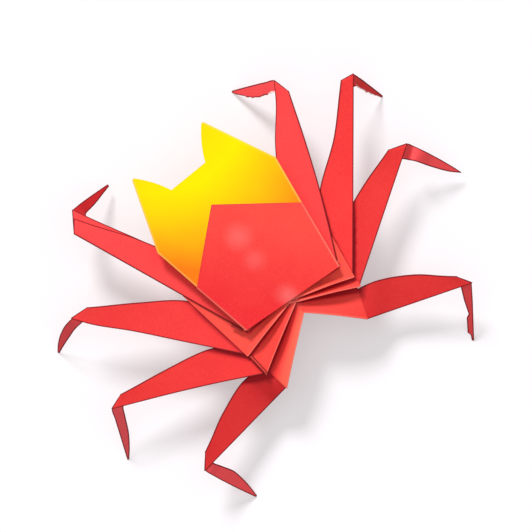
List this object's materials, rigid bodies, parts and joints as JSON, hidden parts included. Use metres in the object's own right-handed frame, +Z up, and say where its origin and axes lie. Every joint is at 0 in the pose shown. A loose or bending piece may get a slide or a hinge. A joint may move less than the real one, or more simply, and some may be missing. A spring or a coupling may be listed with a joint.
{
  "type": "origami crab",
  "caption": "Origami crab folded from one sheet of red and yellow duo paper: a flat horned back on pleated legs with bent knees.",
  "frame": {"origin": "on the table, under the middle of the crab's footprint", "axes": "+Z up, +Y towards the crab's rear, +X towards its left side, so the horns point along -Y"},
  "size_m": [0.106, 0.0856, 0.0186],
  "materials": {
    "duo_paper": "matte"
  },
  "bodies": {
    "root": {"folded_sheet": "duo_paper"}
  },
  "joints": []
}
